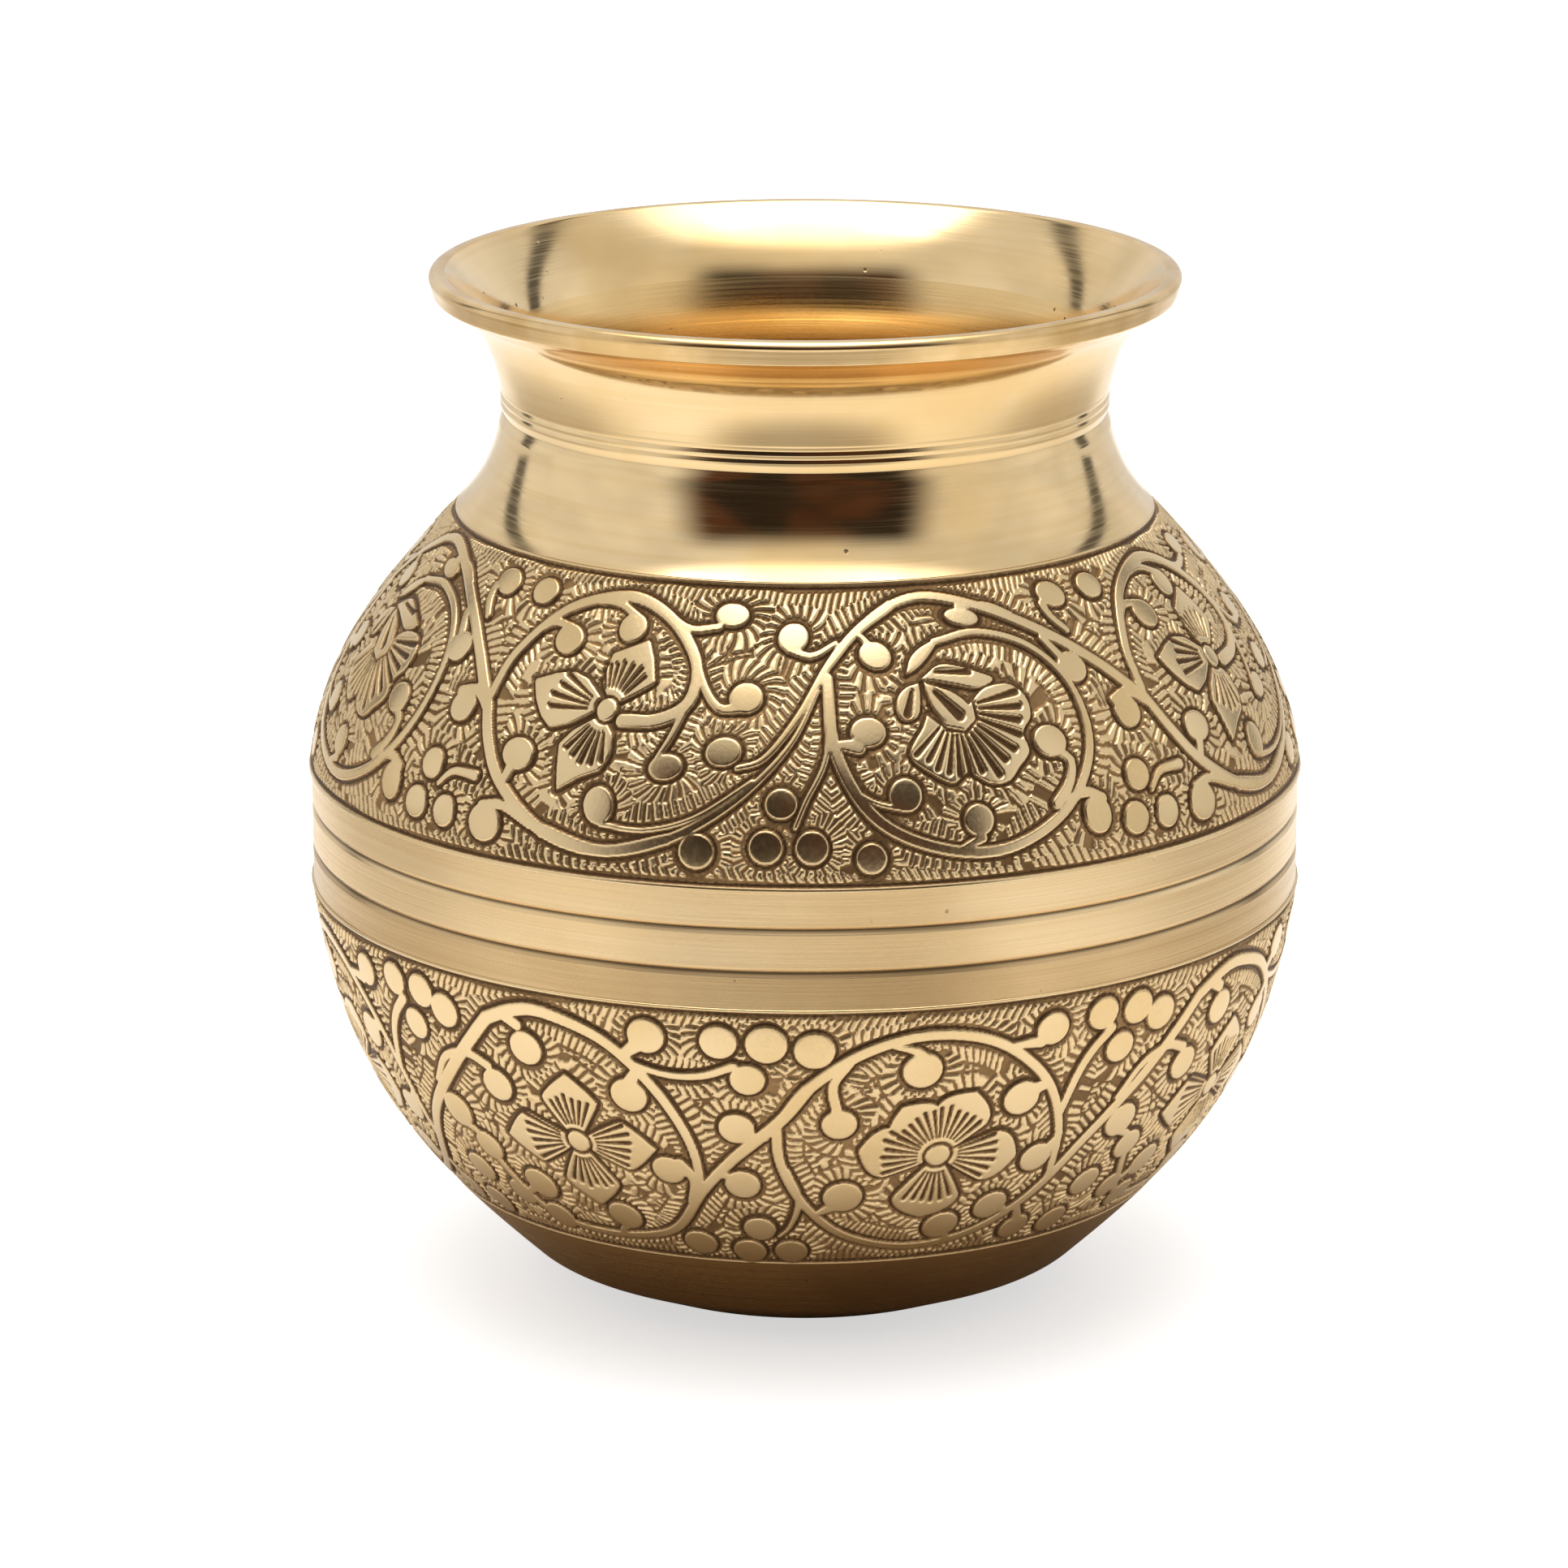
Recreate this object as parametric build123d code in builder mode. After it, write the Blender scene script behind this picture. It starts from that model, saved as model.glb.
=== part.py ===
"""Brass kalash: a round-bellied pot turned from three castings that are brazed together.

Every piece is a section of the wall, turned about Z. In a section, x is the radius and y is the
height above the table. The origin is the centre of the flat foot. Millimetres and degrees.
"""

import os

from build123d import *

# Overall form
overall_height = 101.6
belly_radius = 49.0
neck_radius = 29.95
lip_overhang = 6.85
foot_radius = 20.3

# Stretches of the outside, from the foot upwards; the shoulder takes up the rest of the height
heel_height = 3.2
heel_spread = 7.6
bowl_height = 37.5
belly_band_height = 11.5
cove_height = 9.4
cove_spread = 4.35
collar_height = 14.0
neck_ring_height = 2.6

# The engraved bands stand proud of the plain belly band by this much
lower_band_rise = 0.2
upper_band_rise = 0.3

# Walls
floor_wall = 1.8
shell_wall = 1.3

# Lip: a leaning edge with a round above it and a narrow flat land inside that
lip_edge_height = 1.55
lip_edge_lean = 0.45
lip_round = 0.75
lip_land = 0.7
lip_under_round = 0.3
lip_inside_round = 0.6

# Lap joints: a spigot in a bore, a film of spelter between them and a bead at the spigot's end
spelter_film = 0.1
spelter_bead = 0.75
bead_margin = 0.4
neck_lap_wall = 0.8
neck_spigot_wall = 0.7
neck_spigot_length = 4.0
belly_lap_wall = 1.1
belly_spigot_wall = 1.2
belly_spigot_length = 5.0
belly_seam_height = 3.6

# Turned lines, as width and depth; each seam comes out in the bottom of one
seam_line = (0.5, 0.3)
ring_line = (0.9, 0.3)
fine_line = (0.35, 0.12)
belly_line_spacing = 4.15
fine_line_spacings = (1.3, 2.1)

# Softened corners
foot_round = 3.0
heel_round = 5.0
inside_round = 6.0

# Curves: the direction at each end, anticlockwise from straight outwards, and how far that
# direction is held, as a share of the distance between the ends
bowl_shape = (43.0, 83.0), (0.355, 0.45)
bowl_inside_shape = (43.0, 90.0), (0.355, 0.45)
shoulder_shape = (97.0, 132.5), (0.34, 0.41)
shoulder_inside_shape = (90.0, 132.5), (0.34, 0.41)
cove_shape = (137.0, 94.0), (0.355, 0.30)
cove_inside_shape = (132.5, 90.0), (0.40, 0.30)
flare_shape = (78.5, 32.0), (0.72, 0.28)
throat_shape = (88.0, 43.0), (0.47, 0.33)

# Levels
band_bottom = heel_height + bowl_height
band_top = band_bottom + belly_band_height
belly_seam = band_bottom + belly_seam_height
belly_spigot_top = belly_seam + belly_spigot_length
neck_seam = overall_height - collar_height
neck_ring_top = neck_seam + neck_ring_height
neck_spigot_bottom = neck_seam - neck_spigot_length
neck_bore_bottom = neck_spigot_bottom - spelter_bead - bead_margin
shoulder_top = neck_seam - cove_height
lip_bottom = overall_height - lip_round - lip_edge_height

# Radii
heel_radius = foot_radius + heel_spread
belly_bore_radius = belly_radius - belly_lap_wall
belly_spigot_radius = belly_bore_radius - spelter_film
belly_spigot_inside = belly_spigot_radius - belly_spigot_wall
shoulder_top_radius = neck_radius + cove_spread
neck_bore_radius = neck_radius - neck_lap_wall
neck_spigot_radius = neck_bore_radius - spelter_film
neck_spigot_inside = neck_spigot_radius - neck_spigot_wall
lip_radius = neck_radius + lip_overhang


def heading(angle):
    """Unit vector at an angle in the section."""
    return Vector(1, 0).rotate(Axis.Z, angle)


def inward(point, angle, wall):
    """The point a wall's thickness inside one where the outline heads at an angle."""
    return Vector(*point) + heading(angle + 90) * wall


def curve(start, end, shape):
    """Control points of the cubic curve between two points."""
    angles, pulls = shape
    start, end = Vector(*start), Vector(*end)
    chord = (end - start).length
    leave = start + heading(angles[0]) * (chord * pulls[0])
    arrive = end - heading(angles[1]) * (chord * pulls[1])
    return start, leave, arrive, end


def soften(point, radius):
    """Round the sketch's corner nearest to a point."""
    fillet(vertices().sort_by_distance(Vector(*point))[0], radius)


def cut_line(radius, height, line):
    """Turn a V-shaped line into the outside of the piece, centred at a height."""
    width, depth = line
    with BuildSketch(Plane.XZ) as section:
        Polygon(
            (radius - depth, height),
            (radius + depth, height - width),
            (radius + depth, height + width),
            align=None,
        )
    revolve(section.sketch, axis=Axis.Z, mode=Mode.SUBTRACT)


def make_lower_shell():
    """Flat foot, engraved bowl and the rebated rim that the upper shell sits on."""
    heel = (heel_radius, heel_height)
    inside_heel = inward(heel, bowl_shape[0][0], floor_wall)
    floor_edge = (foot_radius, floor_wall)
    with BuildPart() as shell:
        with BuildSketch(Plane.XZ):
            with BuildLine():
                Polyline((0, floor_wall), (0, 0), (foot_radius, 0), heel)
                Bezier(*curve(heel, (belly_radius + lower_band_rise, band_bottom), bowl_shape))
                Polyline(
                    (belly_radius + lower_band_rise, band_bottom),
                    (belly_radius, band_bottom),
                    (belly_radius, belly_seam),
                    (belly_spigot_radius, belly_seam),
                    (belly_spigot_radius, belly_spigot_top),
                    (belly_spigot_inside, belly_spigot_top),
                    (belly_spigot_inside, band_bottom),
                )
                Bezier(*curve(inside_heel, (belly_spigot_inside, band_bottom), bowl_inside_shape))
                Polyline(inside_heel, floor_edge, (0, floor_wall))
            make_face()
            soften((foot_radius, 0), foot_round)
            soften(heel, heel_round)
            soften(inside_heel, inside_round)
            soften(floor_edge, inside_round)
        revolve(axis=Axis.Z)
        cut_line(belly_radius, belly_seam, seam_line)
    return shell.part


def make_upper_shell():
    """Belly skirt, engraved shoulder and the bored neck that the collar drops into."""
    shoulder_end = (shoulder_top_radius, shoulder_top)
    inside_end = inward(shoulder_end, shoulder_shape[0][1], shell_wall)
    with BuildPart() as shell:
        with BuildSketch(Plane.XZ):
            with BuildLine():
                Polyline(
                    (belly_bore_radius, band_top),
                    (belly_bore_radius, belly_seam),
                    (belly_radius, belly_seam),
                    (belly_radius, band_top),
                    (belly_radius + upper_band_rise, band_top),
                )
                Bezier(*curve((belly_radius + upper_band_rise, band_top), shoulder_end, shoulder_shape))
                Bezier(*curve(shoulder_end, (neck_radius, neck_seam), cove_shape))
                Polyline(
                    (neck_radius, neck_seam),
                    (neck_bore_radius, neck_seam),
                    (neck_bore_radius, neck_bore_bottom),
                )
                Bezier(*curve(inside_end, (neck_bore_radius, neck_bore_bottom), cove_inside_shape))
                Bezier(*curve((belly_bore_radius, band_top), inside_end, shoulder_inside_shape))
            make_face()
        revolve(axis=Axis.Z)
        cut_line(belly_radius, belly_seam, seam_line)
        cut_line(belly_radius, belly_seam + belly_line_spacing, seam_line)
        cut_line(neck_radius, neck_seam, ring_line)
    return shell.part


def make_neck_collar():
    """Waisted neck that flares to the lip, with the spigot that drops into the upper shell."""
    lip_corner = (lip_radius - lip_edge_lean, lip_bottom)
    edge_top = (lip_radius, overall_height - lip_round)
    land_outside = (lip_radius - lip_round, overall_height)
    land_inside = (lip_radius - lip_round - lip_land, overall_height)
    with BuildPart() as collar:
        with BuildSketch(Plane.XZ):
            with BuildLine():
                Polyline(
                    (neck_spigot_inside, neck_seam),
                    (neck_spigot_inside, neck_spigot_bottom),
                    (neck_spigot_radius, neck_spigot_bottom),
                    (neck_spigot_radius, neck_seam),
                    (neck_radius, neck_seam),
                    (neck_radius, neck_ring_top),
                )
                Bezier(*curve((neck_radius, neck_ring_top), lip_corner, flare_shape))
                Line(lip_corner, edge_top)
                TangentArc(edge_top, land_outside, tangent=(0, 1))
                Line(land_outside, land_inside)
                Bezier(*curve((neck_spigot_inside, neck_seam), land_inside, throat_shape))
            make_face()
            soften(lip_corner, lip_under_round)
            soften(land_inside, lip_inside_round)
        revolve(axis=Axis.Z)
        cut_line(neck_radius, neck_seam, ring_line)
        for spacing in fine_line_spacings:
            cut_line(neck_radius, neck_seam + spacing, fine_line)
    return collar.part


def make_spelter_ring(bore_radius, spigot_radius, seam, spigot_end):
    """Film of spelter from the seam to the spigot's end, with a hollow-faced bead beyond it."""
    bead_end = spigot_end + spelter_bead if spigot_end > seam else spigot_end - spelter_bead
    bead_foot = (bore_radius - spelter_bead, spigot_end)
    bead_tip = (bore_radius, bead_end)
    hollow = (bore_radius - spelter_bead / 3, spigot_end + (bead_end - spigot_end) / 3)
    with BuildPart() as ring:
        with BuildSketch(Plane.XZ):
            with BuildLine():
                Polyline(
                    bead_tip,
                    (bore_radius, seam),
                    (spigot_radius, seam),
                    (spigot_radius, spigot_end),
                    bead_foot,
                )
                ThreePointArc(bead_foot, hollow, bead_tip)
            make_face()
        revolve(axis=Axis.Z)
    return ring.part


pieces = {
    "neck_collar": make_neck_collar(),
    "neck_spelter_ring": make_spelter_ring(
        neck_bore_radius, neck_spigot_radius, neck_seam, neck_spigot_bottom
    ),
    "upper_shell": make_upper_shell(),
    "belly_spelter_ring": make_spelter_ring(
        belly_bore_radius, belly_spigot_radius, belly_seam, belly_spigot_top
    ),
    "lower_shell": make_lower_shell(),
}

os.makedirs("parts", exist_ok=True)
for name, piece in pieces.items():
    piece.label = name
    export_step(piece, f"parts/{name}.step")
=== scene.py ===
"""Looks for the brass kalash: turned and engraved brass on a pale floor, in a white studio.

The wall sections repeat the part's own dimensions, in millimetres and degrees. The two engraved
bands are height fields: raised scrolls, flowers and berries on a ground cut with short strokes.
"""

import math

import bpy
import numpy as np
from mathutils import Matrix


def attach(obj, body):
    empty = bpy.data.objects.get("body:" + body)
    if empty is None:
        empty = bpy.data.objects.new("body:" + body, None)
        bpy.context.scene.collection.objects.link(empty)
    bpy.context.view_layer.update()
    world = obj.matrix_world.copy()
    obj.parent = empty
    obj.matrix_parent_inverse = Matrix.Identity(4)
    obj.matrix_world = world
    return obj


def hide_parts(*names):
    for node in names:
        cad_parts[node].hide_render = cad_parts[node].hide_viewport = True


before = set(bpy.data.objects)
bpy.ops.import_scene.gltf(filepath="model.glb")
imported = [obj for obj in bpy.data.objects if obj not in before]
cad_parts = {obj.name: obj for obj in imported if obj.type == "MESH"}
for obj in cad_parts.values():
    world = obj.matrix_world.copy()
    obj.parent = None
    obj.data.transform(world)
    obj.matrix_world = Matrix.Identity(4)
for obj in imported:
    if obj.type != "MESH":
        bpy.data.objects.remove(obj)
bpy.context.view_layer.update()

MM = 0.001

# ---------------------------------------------------------------- sections of the walls

HEIGHT = 101.6
BELLY = 49.0
NECK = 29.95
LIP = 36.8
FOOT = 20.3
HEEL = (27.9, 3.2)
LOWER_BAND = (11.1, 40.7)
UPPER_BAND = (52.2, 78.2)
SEAM = 44.3
BELLY_LINE = 48.45
NECK_SEAM = 87.6
NECK_RING_TOP = 90.2
LOWER_TOP = (49.2, 40.7)
UPPER_FOOT = (49.3, 52.2)
SHOULDER_END = (34.3, 78.2)
BELLY_BORE = 47.9
BELLY_SPIGOT = (46.6, 47.8, 49.3)
NECK_BORE = (29.15, 82.45)
NECK_SPIGOT = (28.35, 29.05, 83.6)
FLOOR_WALL = 1.8
SHELL_WALL = 1.3
SKIN = 0.6
BOWL = (43.0, 83.0), (0.355, 0.45)
BOWL_INSIDE = (43.0, 90.0), (0.355, 0.45)
SHOULDER = (97.0, 132.5), (0.34, 0.41)
SHOULDER_INSIDE = (90.0, 132.5), (0.34, 0.41)
COVE = (137.0, 94.0), (0.355, 0.30)
COVE_INSIDE = (132.5, 90.0), (0.40, 0.30)
FLARE = (78.5, 32.0), (0.72, 0.28)
THROAT = (88.0, 43.0), (0.47, 0.33)
FOOT_ROUND = 3.0
HEEL_ROUND = 5.0
INSIDE_ROUND = 6.0
LINE_DEPTH = 0.3
LINE_REACH = 0.5
NECK_LINE_DEPTH = 0.5
NECK_LINE_REACH = 0.9
LIP_ROUND = 0.75
SHARP_CORNER = 14.0
TURN_PER_STEP = 6.0


def heading(angle):
    """Unit vector at an angle in the section."""
    return np.array((math.cos(math.radians(angle)), math.sin(math.radians(angle))))


def line(*corners):
    """Corners as a line of points."""
    return np.array(corners, float)


def lengths(points):
    """Distance along a line of points, from its start."""
    return np.concatenate(([0.0], np.cumsum(np.linalg.norm(np.diff(points, axis=0), axis=1))))


def read_at(points, along, places):
    """Points of a line at these places along it."""
    return np.stack([np.interp(places, along, points[:, k]) for k in range(points.shape[1])], axis=-1)


def bezier(controls, count=400):
    """Points on a cubic curve."""
    a, b, c, d = (np.asarray(p, float) for p in controls)
    t = np.linspace(0, 1, count + 1)[:, None]
    return (1 - t) ** 3 * a + 3 * t * (1 - t) ** 2 * b + 3 * t**2 * (1 - t) * c + t**3 * d


def curve(start, end, shape):
    """The cubic curve between two points of the section, by its end headings and pulls."""
    angles, pulls = shape
    start, end = np.array(start, float), np.array(end, float)
    chord = np.linalg.norm(end - start)
    leave = start + heading(angles[0]) * chord * pulls[0]
    arrive = end - heading(angles[1]) * chord * pulls[1]
    return bezier((start, leave, arrive, end))


def direction(a, b):
    """Unit vector from one point towards another."""
    return (b - a) / np.linalg.norm(b - a)


def cut_back(points, distance):
    """The line without its last stretch."""
    along = lengths(points)
    end = along[-1] - distance
    return np.vstack([points[along < end - 1e-9], read_at(points, along, end)])


def rounded(before, after, radius):
    """Two lines that meet at a corner, joined by a round."""
    come, go = direction(before[-2], before[-1]), direction(after[0], after[1])
    turn = math.acos(max(-1.0, min(1.0, float(come @ go))))
    before = cut_back(before, radius * math.tan(turn / 2))
    after = cut_back(after[::-1], radius * math.tan(turn / 2))[::-1]
    come, go = direction(before[-2], before[-1]), direction(after[0], after[1])
    pull = 4 / 3 * math.tan(turn / 4) * radius
    corner = bezier((before[-1], before[-1] + come * pull, after[0] - go * pull, after[0]), 12)
    return np.vstack([before, corner[1:-1], after])


def joined(*lines):
    """Lines that follow each other, as one."""
    kept = [lines[0]]
    for following in lines[1:]:
        meets = np.allclose(kept[-1][-1], following[0], atol=1e-6)
        kept.append(following[1:] if meets else following)
    return np.vstack(kept)


def outward(points):
    """Unit normals on the right of the direction of travel."""
    tangent = np.gradient(points, axis=0)
    tangent /= np.linalg.norm(tangent, axis=1)[:, None]
    return np.stack([tangent[:, 1], -tangent[:, 0]], axis=1)


def between(points, low, high):
    """The stretch of a rising line between two heights."""
    along = lengths(points)
    ends = np.interp((low, high), points[:, 1], along)
    inner = points[(along > ends[0] + 1e-6) & (along < ends[1] - 1e-6)]
    return np.vstack([read_at(points, along, ends[0]), inner, read_at(points, along, ends[1])])


def set_back(points, depth):
    """A line moved inwards from the outside."""
    return points - outward(points) * depth


def stepped(outline, step):
    """The outline with its corners kept, and points a step or a small turn apart between them."""
    ahead = np.diff(outline, axis=0)
    size = np.linalg.norm(ahead, axis=1)
    ahead = ahead / size[:, None]
    turn = np.degrees(np.arccos(np.clip(np.sum(ahead[1:] * ahead[:-1], axis=1), -1, 1)))
    corners = [0, *(np.where(turn > SHARP_CORNER)[0] + 1), len(outline) - 1]
    turn = np.concatenate(([0.0], np.where(turn > SHARP_CORNER, 0.0, turn), [0.0]))
    cost = size / step + 0.5 * (turn[1:] + turn[:-1]) / TURN_PER_STEP
    parts = []
    for a, b in zip(corners, corners[1:]):
        spent = np.concatenate(([0.0], np.cumsum(cost[a:b])))
        count = max(1, round(spent[-1]))
        parts.append(read_at(outline[a : b + 1], spent, np.linspace(0, spent[-1], count + 1)))
    return joined(*parts)


bowl_outside = curve(HEEL, LOWER_TOP, BOWL)
shoulder_outside = curve(UPPER_FOOT, SHOULDER_END, SHOULDER)
lower_band_line = between(bowl_outside, *LOWER_BAND)
upper_band_line = shoulder_outside


def lower_shell_outline():
    """From the axis under the foot, round the outside and back to the axis on the floor."""
    inside_heel = np.array(HEEL) + heading(BOWL[0][0] + 90) * FLOOR_WALL
    floor_edge = (FOOT, FLOOR_WALL)
    foot = rounded(line((0, 0), (FOOT, 0)), line((FOOT, 0), HEEL), FOOT_ROUND)
    heel = rounded(foot, between(bowl_outside, HEEL[1], LOWER_BAND[0]), HEEL_ROUND)
    recess = set_back(lower_band_line, SKIN)
    rim = line(
        LOWER_TOP,
        (BELLY, LOWER_TOP[1]),
        (BELLY, SEAM - LINE_REACH),
        (BELLY - LINE_DEPTH, SEAM),
        (BELLY_SPIGOT[1], SEAM),
        (BELLY_SPIGOT[1], BELLY_SPIGOT[2]),
        (BELLY_SPIGOT[0], BELLY_SPIGOT[2]),
        (BELLY_SPIGOT[0], LOWER_TOP[1]),
    )
    inside = curve(inside_heel, (BELLY_SPIGOT[0], LOWER_TOP[1]), BOWL_INSIDE)[::-1]
    floor = rounded(line(inside_heel, floor_edge), line(floor_edge, (0, FLOOR_WALL)), INSIDE_ROUND)
    return joined(heel, recess, rim, rounded(inside, floor, INSIDE_ROUND))


def upper_shell_outline():
    """From the skirt's inner edge at the seam, out and up the outside, and down the inside."""
    inside_end = np.array(SHOULDER_END) + heading(SHOULDER[0][1] + 90) * SHELL_WALL
    skirt = line(
        (BELLY_BORE, SEAM),
        (BELLY - LINE_DEPTH, SEAM),
        (BELLY, SEAM + LINE_REACH),
        (BELLY, BELLY_LINE - LINE_REACH),
        (BELLY - LINE_DEPTH, BELLY_LINE),
        (BELLY, BELLY_LINE + LINE_REACH),
        (BELLY, UPPER_FOOT[1]),
        UPPER_FOOT,
    )
    recess = set_back(upper_band_line, SKIN)
    cove = cut_back(curve(SHOULDER_END, (NECK, NECK_SEAM), COVE), NECK_LINE_REACH)
    neck = line(cove[-1], (NECK - LINE_DEPTH, NECK_SEAM), (NECK_BORE[0], NECK_SEAM), NECK_BORE)
    throat = curve(inside_end, NECK_BORE, COVE_INSIDE)[::-1]
    dome = curve((BELLY_BORE, UPPER_FOOT[1]), inside_end, SHOULDER_INSIDE)[::-1]
    return joined(skirt, recess, cove, neck, throat, dome, line(dome[-1], (BELLY_BORE, SEAM)))


def collar_outline():
    """From the spigot's foot, up the outside, over the lip and down the throat."""
    foot = line(
        (NECK_SPIGOT[0], NECK_SPIGOT[2]),
        (NECK_SPIGOT[1], NECK_SPIGOT[2]),
        (NECK_SPIGOT[1], NECK_SEAM),
        (NECK - LINE_DEPTH, NECK_SEAM),
        (NECK, NECK_SEAM + NECK_LINE_REACH),
    )
    fine_lines = [
        (NECK - depth, NECK_SEAM + spacing + rise)
        for spacing in (1.3, 2.1)
        for rise, depth in ((-0.35, 0.0), (0.0, 0.12), (0.35, 0.0))
    ]
    lip_corner = (LIP - 0.45, HEIGHT - 2.3)
    ring = line(*fine_lines, (NECK, NECK_RING_TOP))
    flare = curve((NECK, NECK_RING_TOP), lip_corner, FLARE)
    flare = rounded(flare, line(lip_corner, (LIP, HEIGHT - LIP_ROUND)), 0.3)
    lip_middle = np.array((LIP - LIP_ROUND, HEIGHT - LIP_ROUND))
    over = [lip_middle + LIP_ROUND * heading(angle) for angle in range(6, 91, 6)]
    land_inside = (LIP - 1.45, HEIGHT)
    throat = curve((NECK_SPIGOT[0], NECK_SEAM), land_inside, THROAT)[::-1]
    inside = rounded(line(over[-1], land_inside), throat, 0.6)
    return joined(foot, ring, flare, np.array(over), inside, line(throat[-1], foot[0]))


# ---------------------------------------------------------------- meshes

UV_MARGIN = 0.004
SHARP_EDGE = 24.0


def around(outline, columns):
    """The rows of points that a line makes when it is turned about the axis."""
    angle = np.arange(columns) * 2 * math.pi / columns
    r, z = outline[:, :1], outline[:, 1:]
    return np.stack([r * np.sin(angle), -r * np.cos(angle), z + 0 * angle], axis=-1)


def unrolled(bands, columns, strips=1):
    """Places in the picture for every face corner: the wall unrolled, and cut into strips."""
    i, j = np.meshgrid(np.arange(bands), np.arange(columns), indexing="ij")
    width = columns // strips
    across = np.stack([j % width, j % width + 1, j % width + 1, j % width], axis=-1) / width
    up = np.stack([i, i, i + 1, i + 1], axis=-1) / bands
    u = UV_MARGIN + (1 - 2 * UV_MARGIN) * across
    v = (UV_MARGIN + (1 - 2 * UV_MARGIN) * up + (j // width)[..., None]) / strips
    return np.stack([u, v], axis=-1).reshape(-1, 2)


def turned_mesh(name, points, fields, materials, row_material, closed, strips=1):
    """A mesh from rows of points round the axis, joined into a ring or ended at the axis."""
    poles = None if closed else (points[0, 0], points[-1, 0])
    if not closed:
        points = points[1:-1]
        fields = {key: values[1:-1] for key, values in fields.items()}
    rows, columns = points.shape[:2]
    bands = rows if closed else rows - 1
    i, j = np.arange(bands)[:, None], np.arange(columns)[None, :]
    right = (j + 1) % columns
    low, high = i * columns, (i + 1) % rows * columns
    faces = np.stack([low + j, low + right, high + right, high + j], axis=-1).reshape(-1)
    starts = np.arange(0, faces.size, 4)
    places = unrolled(bands, columns, strips)
    slots = np.repeat(row_material[:bands], columns)
    points = points.reshape(-1, 3)
    values = {key: field.reshape(-1) for key, field in fields.items()}
    if poles is not None:
        j, right = j[0], right[0]
        base, top = len(points), (rows - 1) * columns
        fans = [
            np.stack([j * 0 + base, right, j], axis=-1),
            np.stack([j * 0 + base + 1, top + j, top + right], axis=-1),
        ]
        u = np.stack([(j + 0.5) / columns, (j + 1) / columns, j / columns], axis=-1)
        turned_u = np.stack([u[:, 0], u[:, 2], u[:, 1]], axis=-1)
        fan_v = np.array([(0, UV_MARGIN, UV_MARGIN), (1, 1 - UV_MARGIN, 1 - UV_MARGIN)])
        for fan, fan_u, v in zip(fans, (u, turned_u), fan_v):
            starts = np.concatenate([starts, faces.size + np.arange(0, 3 * columns, 3)])
            faces = np.concatenate([faces, fan.reshape(-1)])
            places = np.vstack([places, np.stack([fan_u, v + 0 * fan_u], axis=-1).reshape(-1, 2)])
        slots = np.concatenate([slots, np.full(columns, slots[0]), np.full(columns, slots[-1])])
        points = np.vstack([points, *(p[None] for p in poles)])
        values = {key: np.concatenate([v, v[:1], v[-1:]]) for key, v in values.items()}
    mesh = bpy.data.meshes.new(name)
    mesh.vertices.add(len(points))
    mesh.vertices.foreach_set("co", (points * MM).astype(np.float32).ravel())
    mesh.loops.add(faces.size)
    mesh.loops.foreach_set("vertex_index", faces.astype(np.int32))
    mesh.polygons.add(len(starts))
    mesh.polygons.foreach_set("loop_start", starts.astype(np.int32))
    mesh.polygons.foreach_set("material_index", slots.astype(np.int32))
    mesh.update(calc_edges=True)
    layer = mesh.uv_layers.new(name="OFBake")
    layer.data.foreach_set("uv", places.astype(np.float32).ravel())
    for key, field in values.items():
        attribute = mesh.attributes.new(key, "FLOAT", "POINT")
        attribute.data.foreach_set("value", field.astype(np.float32))
    for material in materials:
        mesh.materials.append(material)
    mesh.shade_smooth()
    return mesh


def placed(mesh, node):
    """The mesh as a piece that stands for a CAD node."""
    piece = bpy.data.objects.new(mesh.name, mesh)
    bpy.context.scene.collection.objects.link(piece)
    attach(piece, "root")
    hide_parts(node)
    return piece


def hollow(r, z):
    """How deep a place lies in a turned line of the belly or the neck; 0 away from the lines. The brass
    materials paint shade into the lines by it.
    """
    if LOWER_TOP[1] < z < UPPER_FOOT[1]:
        depth = (BELLY - r) / LINE_DEPTH
    elif NECK_SEAM - 1 < z < NECK_RING_TOP:
        depth = (NECK - r) / NECK_LINE_DEPTH
    else:
        return 0.0
    return depth if 0.0 < depth < 2.0 else 0.0


def turned_piece(name, outline, step, columns, closed, materials, chosen, node):
    """A lathe-turned piece; chosen gives each stretch of the outline its material."""
    outline = stepped(outline, step)
    if closed:
        outline = outline[:-1]
    middles = (outline + np.roll(outline, -1, axis=0)) / 2
    along = lengths(outline)
    rows = around(outline, columns)
    by_row = {"turning": along, "hollow": np.array([hollow(r, z) for r, z in outline])}
    fields = {key: np.repeat(values[:, None], columns, axis=1) for key, values in by_row.items()}
    row_material = np.array([chosen(r, z, a) for (r, z), a in zip(middles, along)])
    if not closed:
        row_material = row_material[1:]
    mesh = turned_mesh(name, rows, fields, materials, row_material, closed)
    mesh.set_sharp_from_angle(angle=math.radians(SHARP_EDGE))
    return placed(mesh, node)


# ---------------------------------------------------------------- engraved bands

# On a band, x runs round the pot and y up the wall, in millimetres at the pot's widest. The work
# repeats four times round the pot, and x and y are 0 at the middle of the first flower.
X_PER_DEGREE = 6 / 7
REPEATS = 4
REPEAT = 360 / REPEATS * X_PER_DEGREE
BAND_COLUMNS = 1920
OUTLINE = 0.34
REACH = 5.5


def fade(low, high, value):
    """0 below low, 1 above high, and a smooth step between."""
    t = np.clip((value - low) / (high - low), 0, 1)
    return t * t * (3 - 2 * t)


def chance(*keys):
    """A fixed random number from 0 to 1 for each set of whole numbers."""
    mixed = sum(key * weight for key, weight in zip(keys, (12.9898, 78.233, 37.719)))
    return np.abs(np.sin(mixed + 1.7) * 43758.5453) % 1


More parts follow.
